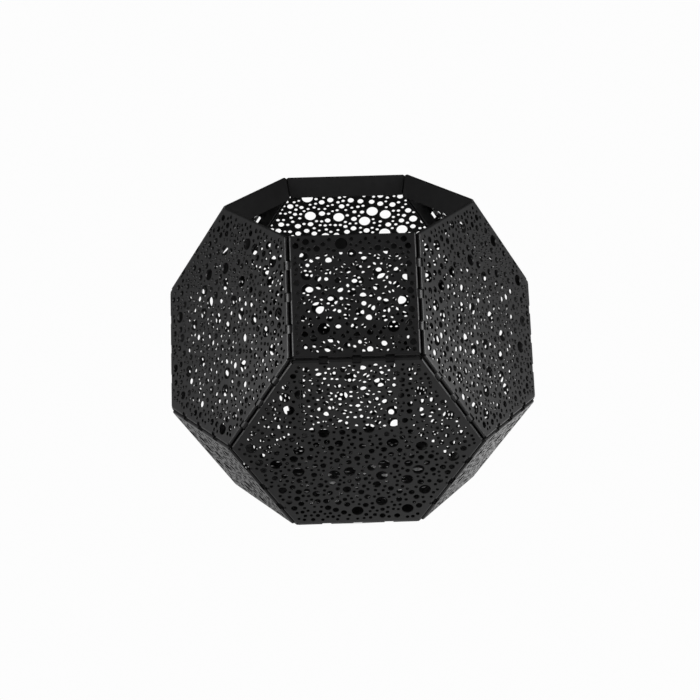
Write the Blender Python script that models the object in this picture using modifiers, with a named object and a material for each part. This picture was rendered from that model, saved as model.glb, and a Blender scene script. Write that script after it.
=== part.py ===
"""Perforated sheet-steel tealight holder: a truncated octahedron that stands on one hexagon and is open on top.

Thirteen separate panels make it: six squares and seven hexagons of 0.4 mm sheet. Each panel is a flat face
whose edges fold inwards into flanges. Two neighbouring flanges lie back to back on the plane that halves the
angle of their seam. One of the two carries three tongues, which pass through three slots in the other panel and
turn over behind its face. The six upper panels also fold inwards along the rim, where their plain flanges form
the collar round the opening.

Metres, +Z up. The origin is the centre of the underside, and the front square faces -Y.
"""

import math
import random

import bmesh
import bpy
from mathutils import Matrix, Vector

# Driving dimensions
EDGE = 0.0345  # edge of the truncated octahedron, over the outside of the sheet
SHEET = 0.0004
BEND_RADIUS = 0.00055  # outside radius of every fold
BEND_STEPS = 2
SEAM_GAP = 0.0003  # between two flanges that lie back to back
FLANGE_DEPTH = 0.0055
COLLAR_DEPTH = 0.0068
CORNER_CUT = {"square": 0.0012, "hexagon": 0.0009}  # how far each corner of a face is cut off along both edges
MITRE_CLEARANCE = 0.0005  # between a flange's end and the line where three seams meet
COLLAR_CLEARANCE = 0.0002  # the same for the collar's flanges
SHOULDER = 0.0003  # below a fold, its flange widens to the mitre over this depth

# Tongues and slots, three to a seam. Depths run down the seam from the solid's ideal edge.
SEAM_STATIONS = (-EDGE / 4, 0.0, EDGE / 4)
SLOT_LENGTH = 0.0025
SLOT_REACH = {"windows": 0.0019, "tongues": 0.0011}  # how far a slot runs from the seam onto the face
SLOT_HEADROOM = 0.0010  # how far a slot's cutter stands clear above the seam
WINDOW_DEPTH = 0.0018  # how far a slot runs down the flange
TONGUE_WIDTH = 0.0021
TONGUE_SHEET = 0.00034
TONGUE_ROOT = 0.0003  # how far a tongue's root runs into its own flange
TONGUE_TURN = 0.0012  # where a tongue leaves its own flange's plane
TONGUE_RIDGE = (0.00040, 0.00075)  # its middle line where it comes up beside the other panel's fold
TONGUE_SINK = 0.0002  # how far it lies below the other panel's outside where it enters the slot
TONGUE_CLEARANCE = 0.0003  # between a tongue and the flange and the face that it turns over behind
TONGUE_END = 0.0023  # how far from the seam's middle plane it ends

# Large perforations: how many of each radius a face carries
HEXAGON_HOLES = ((0.00165, 12), (0.00120, 5))
SQUARE_HOLES = ((0.00165, 3), (0.00120, 3))
HOLE_SIDES = 8
HOLE_MARGIN = 0.0024  # from the face's edge to the rim of a hole
HOLE_WEB = 0.0006  # least metal between two large holes
CLUSTERS = 3  # the large holes gather round this many places on a face
CLUSTER_SPREAD = 0.4 * EDGE
SEAT_RADIUS = 0.0030  # the middle of the base stays solid
SCATTER_TRIES = 4000

HEXAGON_DISTANCE = EDGE * math.sqrt(6) / 2  # from the solid's centre to a hexagonal face
SQUARE_DISTANCE = EDGE * math.sqrt(2)
HEXAGON_TILT = math.degrees(math.asin(1 / 3))  # how far a side face's normal leans from the horizontal
SQUARE_TILT = math.degrees(math.asin(1 / math.sqrt(3)))
HALF_SEAM = {
    "square": math.acos(-1 / math.sqrt(3)) / 2,  # square to hexagon
    "hexagon": math.acos(-1 / 3) / 2,  # hexagon to hexagon
}

SIDE_NAMES = {
    -90: "front",
    -30: "front_right",
    30: "back_right",
    90: "back",
    150: "back_left",
    -150: "front_left",
}
COAT_COLOUR = (0.018, 0.018, 0.019, 1.0)


class Side:
    """One edge of a panel: its direction in the panel's plane, the seam's half angle, and the flange's role."""

    def __init__(self, angle, neighbour, role):
        self.angle = math.radians(angle)
        self.half = HALF_SEAM[neighbour]
        self.role = role

    @property
    def depth(self):
        return COLLAR_DEPTH if self.role == "collar" else FLANGE_DEPTH


class Panel:
    """One face of the solid, with its place and its sides listed anticlockwise as seen from outside."""

    def __init__(self, name, shape, azimuth, tilt, sides, seed):
        self.name = name
        self.shape = shape
        self.azimuth = math.radians(azimuth)
        self.tilt = math.radians(tilt)
        self.sides = sides
        self.seed = seed

    @property
    def apothem(self):
        return EDGE / 2 / math.tan(math.pi / len(self.sides))

    def matrix(self):
        """From the panel's own frame, with z out of the face and y up it, to the holder's frame."""
        flat = Vector((math.cos(self.azimuth), math.sin(self.azimuth), 0.0))
        up = Vector((0.0, 0.0, 1.0))
        out = flat * math.cos(self.tilt) + up * math.sin(self.tilt)
        rise = up * math.cos(self.tilt) - flat * math.sin(self.tilt)
        turn = Matrix((rise.cross(out), rise, out)).transposed().to_4x4()
        distance = HEXAGON_DISTANCE if self.shape == "hexagon" else SQUARE_DISTANCE
        place = out * distance + up * HEXAGON_DISTANCE
        return Matrix.Translation(place) @ turn


def hexagon_sides(first, roles):
    """Six sides from the angle first. Square and hexagonal neighbours take turns, and a square is first."""
    neighbours = ("square", "hexagon") * 3
    return [Side(first + 60 * k, neighbours[k], roles[k]) for k in range(6)]


def square_sides(top_role):
    roles = ("tongues", top_role, "tongues", "tongues")
    return [Side(90 * k, "square", roles[k]) for k in range(4)]


def all_panels():
    panels = [Panel("base_panel", "hexagon", -90, -90, hexagon_sides(30, ("windows",) * 6), 1)]
    for k, azimuth in enumerate((-90, 30, 150)):
        side = SIDE_NAMES[azimuth]
        lower = hexagon_sides(90, ("windows", "tongues") * 3)
        panels.append(Panel(f"lower_{side}_panel", "hexagon", azimuth, -HEXAGON_TILT, lower, 10 + k))
        upper = square_sides("collar")
        panels.append(Panel(f"upper_{side}_panel", "square", azimuth, SQUARE_TILT, upper, 20 + k))
    for k, azimuth in enumerate((90, -30, -150)):
        side = SIDE_NAMES[azimuth]
        upper = hexagon_sides(30, ("windows", "collar", "windows", "windows", "windows", "windows"))
        panels.append(Panel(f"upper_{side}_panel", "hexagon", azimuth, HEXAGON_TILT, upper, 30 + k))
        lower = square_sides("tongues")
        panels.append(Panel(f"lower_{side}_panel", "square", azimuth, -SQUARE_TILT, lower, 40 + k))
    return panels


# ---------------------------------------------------------------- small tools


def in_plane(angle):
    return Vector((math.cos(angle), math.sin(angle), 0.0))


def side_frame(panel, side):
    """The middle of a side's edge, the directions out of the face and along it, and the way its flange dips."""
    out = in_plane(side.angle)
    middle = out * panel.apothem
    along = Vector((-out.y, out.x, 0.0))
    dip = -out * math.cos(side.half) - Vector((0.0, 0.0, math.sin(side.half)))
    return middle, out, along, dip


def seam_frame(panel, side, station):
    """A frame at a station of the seam: x along the edge, y across the seam away from this panel, z down it."""
    middle, out, along, dip = side_frame(panel, side)
    across = dip.cross(along)
    turn = Matrix((along, across, dip)).transposed().to_4x4()
    return Matrix.Translation(middle + along * station) @ turn


def seam_inset(side):
    """How far a side's fold stands back from the panel's ideal edge, for half the gap between two flanges."""
    return SEAM_GAP / 2 / math.sin(side.half)


def fold_length(side):
    """From a fold's virtual corner to where the bend starts."""
    return BEND_RADIUS / math.tan(side.half / 2)


def mitre_inset(panel, side, other, depth):
    """How far from the corner, along side's edge, the seam line stands at a depth down side's flange."""
    drop = depth * math.sin(side.half)
    own = depth * math.cos(side.half)
    beside = drop / math.tan(other.half)
    corner = math.pi - 2 * math.pi / len(panel.sides)
    return (beside + own * math.cos(corner)) / math.sin(corner)


def end_clearance(side):
    return COLLAR_CLEARANCE if side.role == "collar" else MITRE_CLEARANCE


def add_object(name, mesh, collection):
    obj = bpy.data.objects.new(name, mesh)
    collection.objects.link(obj)
    return obj


def add_helper(name, bm, panel_object, collection):
    """A cutter or a joined piece, which moves with its panel and isn't rendered."""
    mesh = bpy.data.meshes.new(name)
    bm.to_mesh(mesh)
    bm.free()
    helper = add_object(name, mesh, collection)
    helper.parent = panel_object
    helper.hide_render = True
    helper.display_type = "WIRE"
    return helper


def add_boolean(obj, operation, other):
    modifier = obj.modifiers.new(f"{operation.title()} {other.name}", "BOOLEAN")
    modifier.operation = operation
    modifier.object = other


def coat_material():
    material = bpy.data.materials.new("black_coat")
    material.use_nodes = True
    shader = material.node_tree.nodes["Principled BSDF"]
    shader.inputs["Base Color"].default_value = COAT_COLOUR
    shader.inputs["Roughness"].default_value = 0.42
    shader.inputs["Metallic"].default_value = 0.0
    return material


# ---------------------------------------------------------------- the folded sheet


def face_outline(bm, panel):
    """The flat part of the face: up to where its folds start, with its corners cut off."""
    count = len(panel.sides)
    first_corner = panel.sides[0].angle + math.pi / count
    turn = Matrix.Rotation(first_corner - math.pi / 2, 4, "Z")  # create_circle starts at +Y
    radius = panel.apothem / math.cos(math.pi / count)
    bmesh.ops.create_circle(bm, cap_ends=True, segments=count, radius=radius, matrix=turn)
    bmesh.ops.bevel(bm, geom=bm.verts[:], offset=CORNER_CUT[panel.shape], segments=1, affect="VERTICES")
    for side in panel.sides:
        for vert in edge_on_side(bm, side).verts:
            vert.co -= in_plane(side.angle) * (seam_inset(side) + fold_length(side))


def edge_on_side(bm, side):
    """The edge that lies furthest out the way side looks."""
    out = in_plane(side.angle)
    return max(bm.edges, key=lambda e: (e.verts[0].co + e.verts[1].co).dot(out))


def fold_flange(bm, panel, index, edge):
    """Bends the sheet round from the face's edge and runs it on down the seam, mitred at both ends."""
    side = panel.sides[index]
    middle, out, along, dip = side_frame(panel, side)
    start = middle - out * (seam_inset(side) + fold_length(side))
    bend = bmesh.ops.spin(
        bm,
        geom=[edge, *edge.verts],
        cent=start - Vector((0.0, 0.0, BEND_RADIUS)),
        axis=along,
        angle=math.pi - side.half,
        steps=BEND_STEPS,
    )
    edge = next(item for item in bend["geom_last"] if isinstance(item, bmesh.types.BMEdge))
    reached = fold_length(side)
    for depth in (reached + SHOULDER, side.depth):
        pulled = bmesh.ops.extrude_edge_only(bm, edges=[edge])["geom"]
        edge = next(item for item in pulled if isinstance(item, bmesh.types.BMEdge))
        for vert in edge.verts:
            end = 1 if vert.co.dot(along) > 0 else -1
            other = panel.sides[(index + end) % len(panel.sides)]
            reach = EDGE / 2 - mitre_inset(panel, side, other, depth) - end_clearance(side)
            vert.co += dip * (depth - reached) + along * (end * reach - vert.co.dot(along))
        reached = depth


def face_outwards(bm):
    """Turns every normal the same way, with the flat face's along +Z."""
    bmesh.ops.recalc_face_normals(bm, faces=bm.faces[:])
    flat = max(bm.faces, key=lambda face: face.calc_area())
    if flat.normal.z < 0:
        bmesh.ops.reverse_faces(bm, faces=bm.faces[:])


def folded_sheet(panel):
    """The panel's outer surface: a face, and on each of its sides a fold and a flange."""
    bm = bmesh.new()
    face_outline(bm, panel)
    edges = [edge_on_side(bm, side) for side in panel.sides]
    for index, edge in enumerate(edges):
        fold_flange(bm, panel, index, edge)
    face_outwards(bm)
    mesh = bpy.data.meshes.new(panel.name)
    bm.to_mesh(mesh)
    bm.free()
    return mesh


# ---------------------------------------------------------------- slots, tongues and holes


def slot_cutters(panel):
    """One box to each station of each seam: it opens the fold and the window below it."""
    bm = bmesh.new()
    for side in panel.sides:
        if side.role == "collar":
            continue
        reach = SLOT_REACH[side.role]
        size = (SLOT_LENGTH, 2 * reach * math.sin(side.half), WINDOW_DEPTH + SLOT_HEADROOM)
        for station in SEAM_STATIONS:
            place = seam_frame(panel, side, station)
            centre = Matrix.Translation((0.0, 0.0, (WINDOW_DEPTH - SLOT_HEADROOM) / 2))
            bmesh.ops.create_cube(bm, size=1.0, matrix=place @ centre @ Matrix.Diagonal((*size, 1.0)))
    return bm


def tongue_path(side):
    """A tongue's middle line, as (across the seam, down it).

    It comes up out of its flange, crosses the seam, and goes through the slot and on behind the other face.
    """
    flange_middle = SEAM_GAP / 2 + SHEET / 2
    hook_middle = SEAM_GAP / 2 + SHEET + TONGUE_CLEARANCE + TONGUE_SHEET / 2
    crest = (hook_middle + TONGUE_SHEET / 2) / math.tan(side.half) + TONGUE_SHEET / 2 + TONGUE_SINK
    behind = (SHEET + TONGUE_CLEARANCE + TONGUE_SHEET / 2) / math.sin(side.half)
    return (
        (-flange_middle, WINDOW_DEPTH + TONGUE_ROOT),
        (-flange_middle, TONGUE_TURN),
        TONGUE_RIDGE,
        (hook_middle, crest),
        (hook_middle, hook_middle / math.tan(side.half) + behind),
        (TONGUE_END, TONGUE_END / math.tan(side.half) + behind),
    )


def tongue_strips(panel):
    """The tongues' middle surfaces, which Solidify makes into sheet."""
    bm = bmesh.new()
    for side in panel.sides:
        if side.role != "tongues":
            continue
        for station in SEAM_STATIONS:
            place = seam_frame(panel, side, station)
            rows = [
                [bm.verts.new(place @ Vector((x, across, down))) for x in (-TONGUE_WIDTH / 2, TONGUE_WIDTH / 2)]
                for across, down in tongue_path(side)
            ]
            for upper, lower in zip(rows, rows[1:]):
                bm.faces.new((upper[0], upper[1], lower[1], lower[0]))
    return bm


def random_spot(chance, spread):
    return Vector((chance.uniform(-spread, spread), chance.uniform(-spread, spread), 0.0))


def scatter_holes(panel):
    """Centres and radii of a face's large holes, largest first: random places that keep clear of each other."""
    chance = random.Random(panel.seed)
    centres = [random_spot(chance, panel.apothem) for _ in range(CLUSTERS)]
    placed = []
    for radius, count in HEXAGON_HOLES if panel.shape == "hexagon" else SQUARE_HOLES:
        wanted = len(placed) + count
        for _ in range(SCATTER_TRIES):
            if len(placed) == wanted:
                break
            spot = chance.choice(centres) + random_spot(chance, CLUSTER_SPREAD)
            inside = all(
                spot.dot(in_plane(side.angle)) < panel.apothem - HOLE_MARGIN - radius for side in panel.sides
            )
            clear = all((spot - other).length > radius + size + HOLE_WEB for other, size in placed)
            off_seat = panel.name != "base_panel" or spot.length > SEAT_RADIUS + radius
            if inside and clear and off_seat:
                placed.append((spot, radius))
    return placed


def hole_cutters(panel):
    bm = bmesh.new()
    for spot, radius in scatter_holes(panel):
        bmesh.ops.create_cone(
            bm,
            cap_ends=True,
            segments=HOLE_SIDES,
            radius1=radius,
            radius2=radius,
            depth=4 * SHEET,
            matrix=Matrix.Translation(spot),
        )
    return bm


def build_panel(panel, holder, parts, helpers, material):
    obj = add_object(panel.name, folded_sheet(panel), parts)
    obj.data.materials.append(material)
    obj.parent = holder
    place = panel.matrix()
    obj.location = place.to_translation()
    obj.rotation_euler = place.to_euler()

    sheet = obj.modifiers.new("Sheet", "SOLIDIFY")
    sheet.thickness = SHEET
    sheet.offset = -1.0
    sheet.use_even_offset = True

    slots = add_helper(f"{panel.name}.slots", slot_cutters(panel), obj, helpers)
    add_boolean(obj, "DIFFERENCE", slots)
    if any(side.role == "tongues" for side in panel.sides):
        tongues = add_helper(f"{panel.name}.tongues", tongue_strips(panel), obj, helpers)
        strip = tongues.modifiers.new("Sheet", "SOLIDIFY")
        strip.thickness = TONGUE_SHEET
        strip.offset = 0.0
        strip.use_even_offset = True
        add_boolean(obj, "UNION", tongues)
    holes = add_helper(f"{panel.name}.holes", hole_cutters(panel), obj, helpers)
    add_boolean(obj, "DIFFERENCE", holes)


def main():
    for obj in list(bpy.data.objects):
        bpy.data.objects.remove(obj)
    parts = bpy.data.collections.new("tealight_holder")
    helpers = bpy.data.collections.new("cutters")
    bpy.context.scene.collection.children.link(parts)
    bpy.context.scene.collection.children.link(helpers)
    holder = add_object("holder", None, parts)
    material = coat_material()
    for panel in all_panels():
        build_panel(panel, holder, parts, helpers, material)


main()
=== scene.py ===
"""The looks of a perforated sheet-metal tealight holder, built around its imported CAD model.

Each panel is made the way the real one is. A flat blank is drawn with its perforations, slots and bend lines,
and triangulated. The blank is then folded into place, given the sheet's thickness, and fitted with tongues.
"""

import math
import random

import bpy
import numpy as np
from mathutils import Matrix, Vector
from mathutils.geometry import delaunay_2d_cdt


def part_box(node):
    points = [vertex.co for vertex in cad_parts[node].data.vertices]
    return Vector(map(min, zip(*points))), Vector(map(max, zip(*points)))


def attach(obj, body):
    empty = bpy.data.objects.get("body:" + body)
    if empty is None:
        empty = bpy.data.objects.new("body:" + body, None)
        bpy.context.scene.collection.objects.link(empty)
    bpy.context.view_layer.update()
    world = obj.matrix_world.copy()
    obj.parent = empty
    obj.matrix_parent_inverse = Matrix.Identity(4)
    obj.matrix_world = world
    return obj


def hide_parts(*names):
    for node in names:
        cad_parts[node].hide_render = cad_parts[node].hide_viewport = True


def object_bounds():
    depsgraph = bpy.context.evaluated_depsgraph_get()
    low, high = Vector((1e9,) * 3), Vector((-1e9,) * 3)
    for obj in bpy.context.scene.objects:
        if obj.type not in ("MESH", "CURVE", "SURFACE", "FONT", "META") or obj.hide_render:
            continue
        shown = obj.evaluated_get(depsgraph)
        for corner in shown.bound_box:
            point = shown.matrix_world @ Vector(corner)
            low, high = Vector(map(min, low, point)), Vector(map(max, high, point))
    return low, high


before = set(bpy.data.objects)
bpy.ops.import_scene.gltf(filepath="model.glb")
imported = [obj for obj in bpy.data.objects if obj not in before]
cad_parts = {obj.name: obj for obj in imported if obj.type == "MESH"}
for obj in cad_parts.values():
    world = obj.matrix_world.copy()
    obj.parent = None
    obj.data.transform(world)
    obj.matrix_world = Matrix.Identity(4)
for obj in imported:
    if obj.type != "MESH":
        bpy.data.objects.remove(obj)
cad_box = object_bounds()

# ---------------------------------------------------------------- dimensions, in metres

# The sheet, its folds and its slots, as in the CAD
SHEET = 0.0004
BEND_RADIUS = 0.00055
FLANGE_DEPTH = 0.0055
COLLAR_DEPTH = 0.0068
MITRE_CLEARANCE = 0.0005  # between a flange's end and the line where three seams meet
SHOULDER = 0.0003  # below a fold, its flange widens to the mitre over this depth
SLOT_LENGTH = 0.0025
WINDOW_DEPTH = 0.0018  # how far a slot runs down the flange
TONGUE_SHEET = 0.00034
TONGUE_ROOT = 0.0003  # how far a tongue's root runs into its own flange
TONGUE_CLEARANCE = 0.0003  # between a tongue and the other panel's flange
CAD_SEAM_GAP = 0.0003

# Unlike the CAD: seams stand wider open, the faces' corners are fuller, tongues lie deeper in shorter slots
SEAM_GAP = 0.00044
CORNER_CUT = {"square": 0.00117, "hexagon": 0.00084}  # off both edges of a face's corner
COLLAR_CLEARANCE = 0.00012  # the collar's own mitre clearance
SLOT_REACH = {"windows": 0.0017, "tongues": 0.0009}  # how far a slot runs from the seam onto the face
TONGUE_WIDTH = 0.00246
TONGUE_TURN = 0.0016  # how far down the seam a tongue leaves its own flange's plane
TONGUE_RIDGE = (0.00040, 0.00120)  # its middle line where it comes up beside the other panel's fold
TONGUE_SINK = 0.0004  # how far it lies below the other panel's outside where it enters the slot
TAIL_CLEARANCE = 0.00005  # between its tail and the face that it turns over behind
TONGUE_END = 0.0034  # how far from the seam's middle plane it ends

# Finer detail that only the visual model has
BEND_STEPS = 6
SLOT_ROUNDING = 0.00022
TONGUE_ROUNDING = 0.00024  # how far a tongue's bends run from their corners
TONGUE_TIP = 0.72  # how wide a tongue's end is, as a share of its width
ARC_STEPS = 4
SHARP_ANGLE = math.radians(40)

# Perforations. The large and the broad holes are the CAD's own, and the rest fill the metal between them.
HEXAGON_HOLES = ((0.00165, 12), (0.00120, 5))
SQUARE_HOLES = ((0.00165, 3), (0.00120, 3))
HOLE_MARGIN = 0.0024
HOLE_WEB = 0.0006
CLUSTERS = 3
SEAT_RADIUS = 0.0030
SCATTER_TRIES = 4000
FINE_MARGIN = {"square": 0.0014, "hexagon": 0.0019}
FINE_WEB = 0.00042
FINE_HOLES = (  # least radius, greatest radius, and how many to a hexagon
    (0.00160, 0.00168, 17),
    (0.00112, 0.00124, 4),
    (0.00084, 0.00094, 135),
    (0.00060, 0.00068, 45),
    (0.00044, 0.00056, 700),
)
SNUG = 0.00012  # the smallest holes first go where they leave less room than this
CELL = 0.00015  # of the grid that keeps track of the room between holes
NEAR = 0.0060  # a hole changes the room of cells no further off than this
ARC_CHORD = 0.00030  # the sides of a hole are about this long
FEWEST_SIDES = 8

# How the blank is triangulated, and how the sheet lies on its map
KEEP_INSIDE = 1  # the triangulation's output type that leaves out what is outside the outlines
MERGE_DISTANCE = 1e-7
MAP_SHARE = 0.48  # the outside and the inside of the sheet lie side by side on the map
MAP_SHIFT = (0.5, 0.0)

SIDE_NAMES = {
    -90: "front",
    -30: "front_right",
    30: "back_right",
    90: "back",
    150: "back_left",
    -150: "front_left",
}

# The neighbour's shape gives a seam's half angle
HALF_SEAM = {"square": math.acos(-1 / math.sqrt(3)) / 2, "hexagon": math.acos(-1 / 3) / 2}
HEXAGON_TILT = math.degrees(math.asin(1 / 3))
SQUARE_TILT = math.degrees(math.asin(1 / math.sqrt(3)))


def edge_from_frame():
    """The solid's edge, from the base's half depth and how far its fold stands back from the ideal edge."""
    base_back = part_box("base_panel")[1][1]
    half = HALF_SEAM["hexagon"]
    standing_back = CAD_SEAM_GAP / 2 / math.sin(half) + BEND_RADIUS / math.tan(half / 2) - BEND_RADIUS
    return round((base_back + standing_back) * 2 / math.sqrt(3), 4)


EDGE = edge_from_frame()
CLUSTER_SPREAD = 0.4 * EDGE
SEAM_STATIONS = (-EDGE / 4, 0.0, EDGE / 4)
HEXAGON_DISTANCE = EDGE * math.sqrt(6) / 2
SQUARE_DISTANCE = EDGE * math.sqrt(2)
HEXAGON_AREA = EDGE * EDGE * 1.5 * math.sqrt(3)


class Side:
    """One edge of a panel: its direction in the panel's plane, its seam's half angle, its flange's role."""

    def __init__(self, angle, neighbour, role):
        self.angle = math.radians(angle)
        self.half = HALF_SEAM[neighbour]
        self.role = role

    @property
    def depth(self):
        return COLLAR_DEPTH if self.role == "collar" else FLANGE_DEPTH

    @property
    def seam_inset(self):
        return SEAM_GAP / 2 / math.sin(self.half)

    @property
    def fold_length(self):
        """From the fold's virtual corner to where the bend starts."""
        return BEND_RADIUS / math.tan(self.half / 2)

    @property
    def turn(self):
        return math.pi - self.half

    @property
    def arc(self):
        """The bend's length over its outside."""
        return BEND_RADIUS * self.turn


class Panel:
    """One face of the solid, with its place and its sides listed anticlockwise as seen from outside."""

    def __init__(self, name, shape, azimuth, tilt, sides, seed):
        self.name = name
        self.shape = shape
        self.azimuth = math.radians(azimuth)
        self.tilt = math.radians(tilt)
        self.sides = sides
        self.seed = seed

    @property
    def apothem(self):
        return EDGE / 2 / math.tan(math.pi / len(self.sides))

    def bend_start(self, side):
        """How far from the face's centre the bend of one side starts."""
        return self.apothem - side.seam_inset - side.fold_length

    def matrix(self):
        flat = Vector((math.cos(self.azimuth), math.sin(self.azimuth), 0.0))
        up = Vector((0.0, 0.0, 1.0))
        out = flat * math.cos(self.tilt) + up * math.sin(self.tilt)
        rise = up * math.cos(self.tilt) - flat * math.sin(self.tilt)
        turn = Matrix((rise.cross(out), rise, out)).transposed().to_4x4()
        distance = HEXAGON_DISTANCE if self.shape == "hexagon" else SQUARE_DISTANCE
        return Matrix.Translation(out * distance + up * HEXAGON_DISTANCE) @ turn


def hexagon_sides(first, roles):
    neighbours = ("square", "hexagon") * 3
    return [Side(first + 60 * k, neighbours[k], roles[k]) for k in range(6)]


def square_sides(top_role):
    roles = ("tongues", top_role, "tongues", "tongues")
    return [Side(90 * k, "square", roles[k]) for k in range(4)]


def all_panels():
    panels = [Panel("base_panel", "hexagon", -90, -90, hexagon_sides(30, ("windows",) * 6), 1)]
    for k, azimuth in enumerate((-90, 30, 150)):
        side = SIDE_NAMES[azimuth]
        lower = hexagon_sides(90, ("windows", "tongues") * 3)
        upper = square_sides("collar")
        panels.append(Panel(f"lower_{side}_panel", "hexagon", azimuth, -HEXAGON_TILT, lower, 10 + k))
        panels.append(Panel(f"upper_{side}_panel", "square", azimuth, SQUARE_TILT, upper, 20 + k))
    for k, azimuth in enumerate((90, -30, -150)):
        side = SIDE_NAMES[azimuth]
        upper = hexagon_sides(30, ("windows", "collar", "windows", "windows", "windows", "windows"))
        lower = square_sides("tongues")
        panels.append(Panel(f"upper_{side}_panel", "hexagon", azimuth, HEXAGON_TILT, upper, 30 + k))
        panels.append(Panel(f"lower_{side}_panel", "square", azimuth, -SQUARE_TILT, lower, 40 + k))
    return panels


# ---------------------------------------------------------------- perforations


def in_plane(angle):
    return Vector((math.cos(angle), math.sin(angle), 0.0))


def random_spot(chance, spread):
    return Vector((chance.uniform(-spread, spread), chance.uniform(-spread, spread), 0.0))


def scatter_large(panel):
    """The CAD's own large holes, drawn in the same order from the same seed."""
    chance = random.Random(panel.seed)
    centres = [random_spot(chance, panel.apothem) for _ in range(CLUSTERS)]
    placed = []
    for radius, count in HEXAGON_HOLES if panel.shape == "hexagon" else SQUARE_HOLES:
        wanted = len(placed) + count
        for _ in range(SCATTER_TRIES):
            if len(placed) == wanted:
                break
            spot = chance.choice(centres) + random_spot(chance, CLUSTER_SPREAD)
            reach = panel.apothem - HOLE_MARGIN - radius
            inside = all(spot.dot(in_plane(side.angle)) < reach for side in panel.sides)
            clear = all((spot - other).length > radius + size + HOLE_WEB for other, size in placed)
            off_seat = panel.name != "base_panel" or spot.length > SEAT_RADIUS + radius
            if inside and clear and off_seat:
                placed.append((spot, radius))
    return placed


def room_grid(panel):
    """A grid over the face: each cell's place, and the radius of the largest hole that fits there."""
    reach = panel.apothem / math.cos(math.pi / len(panel.sides))
    line = np.arange(-reach, reach, CELL)
    x, y = (axis.ravel() for axis in np.meshgrid(line, line))
    room = np.full(len(x), reach)
    for side in panel.sides:
        out = in_plane(side.angle)
        room = np.minimum(room, panel.apothem - FINE_MARGIN[panel.shape] - x * out.x - y * out.y)
    kept = room > FINE_HOLES[-1][0]
    return x[kept], y[kept], room[kept]


def scatter_all(panel):
    """Every perforation of a face as x, y and radius: the large ones, then ever smaller ones between them."""
    rng = np.random.default_rng(panel.seed)
    share = EDGE**2 / HEXAGON_AREA if panel.shape == "square" else 1.0
    x, y, room = room_grid(panel)
    holes = []

    def punch(hole_x, hole_y, radius):
        holes.append((hole_x, hole_y, radius))
        near = np.flatnonzero((np.abs(x - hole_x) < NEAR) & (np.abs(y - hole_y) < NEAR))
        left = np.hypot(x[near] - hole_x, y[near] - hole_y) - radius - FINE_WEB
        room[near] = np.minimum(room[near], left)

    for spot, radius in scatter_large(panel):
        punch(spot.x, spot.y, radius)
    for least, greatest, number in FINE_HOLES:
        open_cells = room >= FINE_HOLES[-1][0]
        x, y, room = x[open_cells], y[open_cells], room[open_cells]
        for _ in range(round(number * share)):
            radius = rng.uniform(least, greatest)
            spots = np.flatnonzero(room >= radius)
            if least == FINE_HOLES[-1][0]:
                snug = spots[room[spots] < radius + SNUG]
                spots = snug if len(snug) else spots
            if not len(spots):
                break
            spot = rng.choice(spots)
            punch(x[spot], y[spot], radius)
    return holes


# ---------------------------------------------------------------- the flat blank


def flange_reach(panel, side, other, depth):
    """How far from the middle side's flange runs, towards its neighbour other, at a depth down the seam."""
    drop = depth * math.sin(side.half)
    own = depth * math.cos(side.half)
    corner = math.pi - 2 * math.pi / len(panel.sides)
    mitre = (drop / math.tan(other.half) + own * math.cos(corner)) / math.sin(corner)
    return EDGE / 2 - mitre - (COLLAR_CLEARANCE if side.role == "collar" else MITRE_CLEARANCE)


def blank_outline(panel):
    """The blank's outline, anticlockwise: for each side its bend, its flange and back."""
    points = []
    width = EDGE / 2 - CORNER_CUT[panel.shape]
    for index, side in enumerate(panel.sides):
        out = in_plane(side.angle).xy
        along = Vector((-out.y, out.x))
        before = panel.sides[index - 1]
        after = panel.sides[(index + 1) % len(panel.sides)]
        start = panel.bend_start(side)
        end = start + side.arc
        shoulder = side.fold_length + SHOULDER
        for reach, place in (
            (start, -width),
            (end, -flange_reach(panel, side, before, side.fold_length)),
            (end + SHOULDER, -flange_reach(panel, side, before, shoulder)),
            (end + side.depth - side.fold_length, -flange_reach(panel, side, before, side.depth)),
            (end + side.depth - side.fold_length, flange_reach(panel, side, after, side.depth)),
            (end + SHOULDER, flange_reach(panel, side, after, shoulder)),
            (end, flange_reach(panel, side, after, side.fold_length)),
            (start, width),
        ):
            points.append(out * reach + along * place)
    return points


def bend_lines(panel):
    """Straight lines along every bend, which keep the triangles from cutting across it."""
    lines = []
    width = EDGE / 2 - CORNER_CUT[panel.shape]
    for index, side in enumerate(panel.sides):
        out = in_plane(side.angle).xy
        along = Vector((-out.y, out.x))
        left = flange_reach(panel, side, panel.sides[index - 1], side.fold_length)
        right = flange_reach(panel, side, panel.sides[(index + 1) % len(panel.sides)], side.fold_length)
        for k in range(BEND_STEPS + 1):
            share = k / BEND_STEPS
            middle = out * (panel.bend_start(side) + side.arc * share)
            ends = [along * (width + (reach - width) * share) for reach in (left, right)]
            lines.append((middle - ends[0], middle + ends[1]))
    return lines


def rounded_box(low, high, radius):
    """An anticlockwise box with rounded corners."""
    points = []
    for k, (x, y) in enumerate(((high.x, high.y), (low.x, high.y), (low.x, low.y), (high.x, low.y))):
        inwards = Vector((-1 if x == high.x else 1, -1 if y == high.y else 1)) * radius
        for step in range(ARC_STEPS + 1):
            angle = math.pi / 2 * (k + step / ARC_STEPS)
            points.append(Vector((x, y)) + inwards + Vector((math.cos(angle), math.sin(angle))) * radius)
    return points


def slot_outlines(panel):
    """The slots: each runs from the face across the bend to its window in the flange."""
    slots = []
    for side in panel.sides:
        if side.role == "collar":
            continue
        turn = Matrix.Rotation(side.angle, 2)
        near = panel.apothem - SLOT_REACH[side.role]
        far = panel.bend_start(side) + side.arc + WINDOW_DEPTH - side.fold_length
        for station in SEAM_STATIONS:
            low = Vector((near, station - SLOT_LENGTH / 2))
            high = Vector((far, station + SLOT_LENGTH / 2))
            slots.append([turn @ point for point in rounded_box(low, high, SLOT_ROUNDING)])
    return slots


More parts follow.
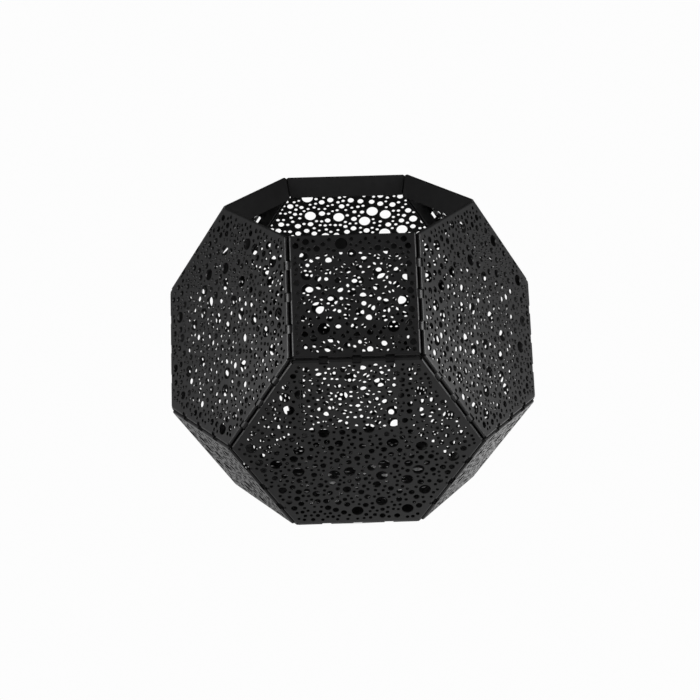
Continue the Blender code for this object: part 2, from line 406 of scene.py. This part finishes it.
def hole_outline(x, y, radius):
    sides = max(FEWEST_SIDES, round(2 * math.pi * radius / ARC_CHORD))
    angles = [2 * math.pi * k / sides for k in range(sides)]
    return [Vector((x + radius * math.cos(angle), y + radius * math.sin(angle))) for angle in angles]


def triangulated_blank(panel):
    """The blank as an array of points and an array of triangles, with every opening left out."""
    points = []
    loops = []
    edges = []
    openings = [hole_outline(*hole) for hole in scatter_all(panel)]
    for outline in [blank_outline(panel), *slot_outlines(panel), *openings]:
        loops.append(list(range(len(points), len(points) + len(outline))))
        points.extend(outline)
    for line in bend_lines(panel):
        edges.append((len(points), len(points) + 1))
        points.extend(line)
    cut = delaunay_2d_cdt(points, edges, loops, KEEP_INSIDE, MERGE_DISTANCE, True)
    triangles = [face for face, source in zip(cut[2], cut[5]) if source == [0]]
    return np.array([tuple(point) for point in cut[0]]), np.array(triangles)


# ---------------------------------------------------------------- the folded sheet


def fold(panel, flat, depth):
    """Folds flat points depth below the sheet's outside. Returns their places and the sheet's normals."""
    up = np.array((0.0, 0.0, 1.0))
    places = np.column_stack((flat, np.full(len(flat), -depth)))
    normals = np.tile(up, (len(flat), 1))
    outs = [np.array(in_plane(side.angle)) for side in panel.sides]
    pasts = np.array([flat @ out[:2] - panel.bend_start(side) for out, side in zip(outs, panel.sides)])
    for side, out, past in zip(panel.sides, outs, pasts):
        along = np.array((-out[1], out[0], 0.0))
        offset = flat @ along[:2]
        bent = (past > 0) & (past == pasts.max(axis=0))
        angle = np.minimum(past[bent] / BEND_RADIUS, side.turn)[:, None]
        straight = np.maximum(past[bent] - side.arc, 0)[:, None]
        normal = out * np.sin(angle) + up * np.cos(angle)
        onward = out * np.cos(angle) - up * np.sin(angle)
        pivot = out * panel.bend_start(side) - up * BEND_RADIUS + along * offset[bent][:, None]
        places[bent] = pivot + normal * (BEND_RADIUS - depth) + onward * straight
        normals[bent] = normal
    return places, normals


def open_edges(triangles):
    """The directed edges that only one triangle has: the rims of the blank and of its openings."""
    edges = np.concatenate((triangles[:, [0, 1]], triangles[:, [1, 2]], triangles[:, [2, 0]]))
    size = triangles.max() + 1
    forward = edges[:, 0] * size + edges[:, 1]
    backward = edges[:, 1] * size + edges[:, 0]
    return edges[~np.isin(forward, backward)]


def thick_sheet(panel):
    """The folded sheet's points, faces, normals to each face corner and flat map coordinates."""
    flat, triangles = triangulated_blank(panel)
    count = len(flat)
    outside, normals = fold(panel, flat, 0.0)
    inside, _ = fold(panel, flat, SHEET)
    rim = open_edges(triangles)
    walls = np.column_stack((rim[:, 0], rim[:, 0] + count, rim[:, 1] + count, rim[:, 1]))
    faces = [*triangles.tolist(), *(triangles[:, ::-1] + count).tolist(), *walls.tolist()]
    corner_normals = np.concatenate(
        (normals[triangles.ravel()], -normals[triangles[:, ::-1].ravel()], np.zeros((walls.size, 3)))
    )
    spread = flat - flat.min(axis=0)
    spread = spread / spread.max() * MAP_SHARE
    maps = np.concatenate((spread, spread + MAP_SHIFT))
    return np.concatenate((outside, inside)), faces, corner_normals, maps


# ---------------------------------------------------------------- tongues


def seam_frame(panel, side, station):
    """A frame at a station of the seam: x along the edge, y across the seam to the other panel, z down it."""
    out = in_plane(side.angle)
    along = Vector((-out.y, out.x, 0.0))
    dip = -out * math.cos(side.half) - Vector((0.0, 0.0, math.sin(side.half)))
    turn = Matrix((along, dip.cross(along), dip)).transposed().to_4x4()
    return Matrix.Translation(out * panel.apothem + along * station) @ turn


def tongue_path(side):
    """The corners of a tongue's middle line, as (across the seam, down it)."""
    flange_middle = SEAM_GAP / 2 + SHEET / 2
    hook_middle = SEAM_GAP / 2 + SHEET + TONGUE_CLEARANCE + TONGUE_SHEET / 2
    crest = (hook_middle + TONGUE_SHEET / 2) / math.tan(side.half) + TONGUE_SHEET / 2 + TONGUE_SINK
    behind = (SHEET + TAIL_CLEARANCE + TONGUE_SHEET / 2) / math.sin(side.half)
    return [
        Vector((-flange_middle, WINDOW_DEPTH + TONGUE_ROOT)),
        Vector((-flange_middle, TONGUE_TURN)),
        Vector(TONGUE_RIDGE),
        Vector((hook_middle, crest)),
        Vector((hook_middle, hook_middle / math.tan(side.half) + behind)),
        Vector((TONGUE_END, TONGUE_END / math.tan(side.half) + behind)),
    ]


def rounded_path(corners, radius):
    """The path with its inner corners rounded, by points on a quadratic curve round each."""
    path = [corners[0]]
    for before, corner, after in zip(corners, corners[1:], corners[2:]):
        first = corner + (before - corner).normalized() * radius
        last = corner + (after - corner).normalized() * radius
        for step in range(ARC_STEPS + 1):
            t = step / ARC_STEPS
            path.append(first * (1 - t) ** 2 + corner * 2 * t * (1 - t) + last * t * t)
    path.append(corners[-1])
    return path


def tongue(place, side):
    """A closed strip along the path: four points to a section, narrowing over its end."""
    path = rounded_path(tongue_path(side), TONGUE_ROUNDING)
    points = []
    for k, point in enumerate(path):
        ahead = (path[min(k + 1, len(path) - 1)] - path[max(k - 1, 0)]).normalized()
        rise = Vector((-ahead.y, ahead.x)) * TONGUE_SHEET / 2
        half = TONGUE_WIDTH / 2 * (TONGUE_TIP if k == len(path) - 1 else 1.0)
        for x, y in ((-half, 1), (half, 1), (half, -1), (-half, -1)):
            across, down = point + rise * y
            points.append(place @ Vector((x, across, down)))
    faces = [(3, 2, 1, 0), tuple(len(points) - 4 + k for k in range(4))]
    for section in range(0, len(points) - 4, 4):
        for k in range(4):
            beside = (k + 1) % 4
            faces.append((section + k, section + beside, section + beside + 4, section + k + 4))
    return points, faces


def add_tongues(panel, points, faces):
    for side in panel.sides:
        if side.role != "tongues":
            continue
        for station in SEAM_STATIONS:
            more, added = tongue(seam_frame(panel, side, station), side)
            faces.extend([tuple(len(points) + index for index in face) for face in added])
            points.extend(tuple(point) for point in more)


# ---------------------------------------------------------------- the black coat

COAT_TONES = ((0.008, 0.008, 0.0084, 1.0), (0.016, 0.0157, 0.016, 1.0))
COAT_ROUGHNESS = (0.30, 0.46)
MOTTLE_SCALE = 420.0  # this and the next two in features to the metre
SHEEN_SCALE = 900.0
GRAIN_SCALE = 5200.0
GRAIN_HEIGHT = 0.00003
GRAIN_STRENGTH = 0.22


def node(tree, kind, **inputs):
    """A new node with some of its inputs set. An underscore stands for the space in an input's name."""
    made = tree.nodes.new(kind)
    for name, value in inputs.items():
        made.inputs[name.replace("_", " ")].default_value = value
    return made


def noise(tree, scale, detail=3.0):
    """Noise over object space. scale is in features to the metre."""
    place = tree.nodes.new("ShaderNodeTexCoord")
    made = node(tree, "ShaderNodeTexNoise", Scale=scale, Detail=detail, Roughness=0.55)
    tree.links.new(place.outputs["Object"], made.inputs["Vector"])
    return made.outputs["Fac"]


def ramp(tree, source, low, high):
    """Maps a 0 to 1 source onto the range from low to high."""
    made = node(tree, "ShaderNodeMapRange", To_Min=low, To_Max=high)
    tree.links.new(source, made.inputs["Value"])
    return made.outputs["Result"]


def coat_material():
    """Fine-grained black stove enamel: satin, faintly mottled, with the grain's tiny bumps."""
    material = bpy.data.materials.new("black_coat")
    material.use_nodes = True
    tree = material.node_tree
    shader = tree.nodes["Principled BSDF"]
    mottle = node(tree, "ShaderNodeMix")
    mottle.data_type = "RGBA"
    for socket, tone in zip([socket for socket in mottle.inputs if socket.type == "RGBA"], COAT_TONES):
        socket.default_value = tone
    tree.links.new(noise(tree, MOTTLE_SCALE, 6.0), mottle.inputs[0])
    mixed = next(socket for socket in mottle.outputs if socket.type == "RGBA")
    tree.links.new(mixed, shader.inputs["Base Color"])
    tree.links.new(ramp(tree, noise(tree, SHEEN_SCALE), *COAT_ROUGHNESS), shader.inputs["Roughness"])
    bump = node(tree, "ShaderNodeBump", Strength=GRAIN_STRENGTH, Distance=GRAIN_HEIGHT)
    tree.links.new(noise(tree, GRAIN_SCALE, 2.0), bump.inputs["Height"])
    tree.links.new(bump.outputs["Normal"], shader.inputs["Normal"])
    return material


# ---------------------------------------------------------------- pieces


def shade(mesh, corner_normals, matrix):
    """Smooth shading, with the sheet's true normals on its two faces."""
    mesh.shade_smooth()
    mesh.set_sharp_from_angle(angle=SHARP_ANGLE)
    turn = np.array(matrix.to_3x3())
    set_normals = np.zeros((len(mesh.loops), 3))
    set_normals[: len(corner_normals)] = corner_normals @ turn.T
    mesh.normals_split_custom_set(set_normals.tolist())


def lay_map(mesh, maps):
    """The sheet's map, from its flat blank. The tongues' points come last, and stay at the map's corner."""
    layer = mesh.uv_layers.new(name="OFBake")
    corners = np.empty(len(mesh.loops), dtype=int)
    mesh.loops.foreach_get("vertex_index", corners)
    coordinates = np.zeros((len(corners), 2))
    on_sheet = corners < len(maps)
    coordinates[on_sheet] = maps[corners[on_sheet]]
    layer.uv.foreach_set("vector", coordinates.ravel())


def build_panel(panel, material):
    """One visible panel, in the place of the CAD's."""
    sheet, faces, corner_normals, maps = thick_sheet(panel)
    points = [tuple(point) for point in sheet]
    add_tongues(panel, points, faces)
    mesh = bpy.data.meshes.new(panel.name.replace("panel", "sheet"))
    mesh.from_pydata(points, [], faces)
    mesh.transform(panel.matrix())
    mesh.materials.append(material)
    shade(mesh, corner_normals, panel.matrix())
    lay_map(mesh, maps)

    piece = bpy.data.objects.new(mesh.name, mesh)
    bpy.context.scene.collection.objects.link(piece)
    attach(piece, "root")
    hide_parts(panel.name)


# ---------------------------------------------------------------- stage

CAMERA_AZIMUTH = -1.4
CAMERA_ELEVATION = 19.9
CAMERA_ROLL = -1.2
CAMERA_DISTANCE = 16.3 * EDGE
CAMERA_LENS = 102.0
CENTRE_RIGHT = 0.0133 * EDGE  # the solid's centre stands this far right of the picture's
CENTRE_UP = 0.043 * EDGE

WHITE = 0.98  # what the camera sees of the floor and of the backdrop
FLOOR_HALF = 6.0
FLOOR_DROP = 0.0001  # the floor lies this far below the base
PAPER = (0.86, 0.86, 0.86, 1.0)

# How bright the floor, the walls and the sky are to the object: from where, to where, and the values there
FLOOR_BACKWARDS = (-0.060, 0.020, 0.44, 0.96)
FLOOR_RIGHTWARDS = (-0.060, 0.060, 0.70, 1.22)
FLOOR_OUTWARDS = (0.085, 0.150, 1.0, 0.35)
FLOOR_SHADE = (0.78 * EDGE, 0.85 * EDGE, 0.0, 1.0)
HORIZON = (0.0, 0.22, 0.07, 0.01)
ABOVE = (0.40, 0.80, 0.0, 0.08)

# Two bright cards on each side: the right one's place, its target, and its width and height
LOW_CARD = ((0.105, -0.035, 0.058), (0.0, -0.035, 0.058), (0.060, 0.036))
HIGH_CARD = ((0.20, -0.100, 0.11), (0.0, -0.030, 0.05), (0.10, 0.20))


def camera():
    """Looks at the solid's centre from the front and above, as CAMERA_ and CENTRE_ say."""
    data = bpy.data.cameras.new("camera")
    data.lens = CAMERA_LENS
    data.sensor_width = 36.0
    data.clip_start = 0.01
    azimuth = math.radians(CAMERA_AZIMUTH)
    elevation = math.radians(CAMERA_ELEVATION)
    back = Vector(
        (
            math.sin(azimuth) * math.cos(elevation),
            -math.cos(azimuth) * math.cos(elevation),
            math.sin(elevation),
        )
    )
    right = Vector((math.cos(azimuth), math.sin(azimuth), 0.0))
    up = back.cross(right)
    roll = Matrix.Rotation(math.radians(CAMERA_ROLL), 4, "Z")
    turn = Matrix((right, up, back)).transposed().to_4x4() @ roll
    centre = Vector((0.0, 0.0, HEXAGON_DISTANCE))
    shift = turn.to_3x3() @ Vector((CENTRE_RIGHT, CENTRE_UP, 0.0))
    obj = bpy.data.objects.new("camera", data)
    obj.matrix_world = Matrix.Translation(centre + back * CAMERA_DISTANCE - shift) @ turn
    bpy.context.scene.collection.objects.link(obj)
    bpy.context.scene.camera = obj


def falloff(tree, source, start, end, low, high):
    """Goes smoothly from low, where the source is at start, to high, where it is at end."""
    made = node(tree, "ShaderNodeMapRange", From_Min=start, From_Max=end, To_Min=low, To_Max=high)
    made.interpolation_type = "SMOOTHSTEP"
    tree.links.new(source, made.inputs["Value"])
    return made.outputs["Result"]


def combine(tree, operation, first, second):
    made = tree.nodes.new("ShaderNodeMath")
    made.operation = operation
    tree.links.new(first, made.inputs[0])
    tree.links.new(second, made.inputs[1])
    return made.outputs[0]


def camera_sees(tree, seen, otherwise):
    """One value for the camera, and another for everything that lights the object."""
    path = tree.nodes.new("ShaderNodeLightPath")
    mix = node(tree, "ShaderNodeMix", B=seen)
    tree.links.new(path.outputs["Is Camera Ray"], mix.inputs["Factor"])
    tree.links.new(otherwise, mix.inputs["A"])
    return mix.outputs["Result"]


def paper_material():
    """White paper, dark right under the object. It lights the object most from behind and from the right."""
    material = bpy.data.materials.new("white_paper")
    material.use_nodes = True
    tree = material.node_tree
    shader = tree.nodes["Principled BSDF"]
    shader.inputs["Base Color"].default_value = PAPER
    shader.inputs["Roughness"].default_value = 0.9
    shader.inputs["Specular IOR Level"].default_value = 0.0
    place = tree.nodes.new("ShaderNodeTexCoord")
    split = tree.nodes.new("ShaderNodeSeparateXYZ")
    tree.links.new(place.outputs["Object"], split.inputs["Vector"])
    radius = tree.nodes.new("ShaderNodeVectorMath")
    radius.operation = "LENGTH"
    tree.links.new(place.outputs["Object"], radius.inputs[0])
    backwards = falloff(tree, split.outputs["Y"], *FLOOR_BACKWARDS)
    rightwards = falloff(tree, split.outputs["X"], *FLOOR_RIGHTWARDS)
    outwards = falloff(tree, radius.outputs["Value"], *FLOOR_OUTWARDS)
    strength = combine(tree, "MULTIPLY", combine(tree, "MULTIPLY", backwards, rightwards), outwards)
    glow = tree.nodes.new("ShaderNodeEmission")
    tree.links.new(camera_sees(tree, WHITE, strength), glow.inputs["Strength"])
    lit = falloff(tree, radius.outputs["Value"], *FLOOR_SHADE)
    mix = tree.nodes.new("ShaderNodeMixShader")
    tree.links.new(lit, mix.inputs["Fac"])
    tree.links.new(shader.outputs["BSDF"], mix.inputs[1])
    tree.links.new(glow.outputs["Emission"], mix.inputs[2])
    tree.links.new(mix.outputs["Shader"], tree.nodes["Material Output"].inputs["Surface"])
    return material


def pale_floor():
    mesh = bpy.data.meshes.new("floor")
    corners = [(x * FLOOR_HALF, y * FLOOR_HALF, 0) for x, y in ((-1, -1), (1, -1), (1, 1), (-1, 1))]
    mesh.from_pydata(corners, [], [(0, 1, 2, 3)])
    mesh.materials.append(paper_material())
    floor = bpy.data.objects.new("floor", mesh)
    floor.location.z = cad_box[0][2] - FLOOR_DROP
    bpy.context.scene.collection.objects.link(floor)


def card(name, place, target, size, brightness):
    """A bright rectangle that faces its target. The camera doesn't see it."""
    width, height = size
    data = bpy.data.lights.new(name, "AREA")
    data.shape = "RECTANGLE"
    data.size = width
    data.size_y = height
    data.energy = brightness * math.pi * width * height
    light = bpy.data.objects.new(name, data)
    light.location = place
    light.rotation_euler = (Vector(place) - Vector(target)).to_track_quat("Z", "Y").to_euler()
    light.visible_camera = False
    bpy.context.scene.collection.objects.link(light)


def side_cards(name, side, low_brightness, high_brightness):
    """side is -1 for the left and 1 for the right. The low card lights the hexagon that looks that way. The
    high card lights the rounded lips of the front seams."""
    for level, layout, brightness in ("low", LOW_CARD, low_brightness), ("high", HIGH_CARD, high_brightness):
        (x, y, z), target, size = layout
        card(f"{name}_{level}_card", (side * x, y, z), target, size, brightness)


def white_studio():
    """White all round for the camera. The object sees dark walls, a dim horizon and a faint glow above."""
    world = bpy.data.worlds.new("studio")
    bpy.context.scene.world = world
    world.use_nodes = True
    tree = world.node_tree
    tree.nodes.clear()
    place = tree.nodes.new("ShaderNodeTexCoord")
    split = tree.nodes.new("ShaderNodeSeparateXYZ")
    tree.links.new(place.outputs["Generated"], split.inputs["Vector"])
    horizon = falloff(tree, split.outputs["Z"], *HORIZON)
    above = falloff(tree, split.outputs["Z"], *ABOVE)
    sky = node(tree, "ShaderNodeBackground", Color=(1.0, 1.0, 1.0, 1.0))
    tree.links.new(camera_sees(tree, WHITE, combine(tree, "ADD", horizon, above)), sky.inputs["Strength"])
    end = tree.nodes.new("ShaderNodeOutputWorld")
    tree.links.new(sky.outputs["Background"], end.inputs["Surface"])


coat = coat_material()
for each in all_panels():
    build_panel(each, coat)
camera()
pale_floor()
white_studio()
side_cards("left", -1, 0.9, 8.0)
side_cards("right", 1, 1.8, 8.0)
bpy.context.scene.view_settings.view_transform = "Standard"
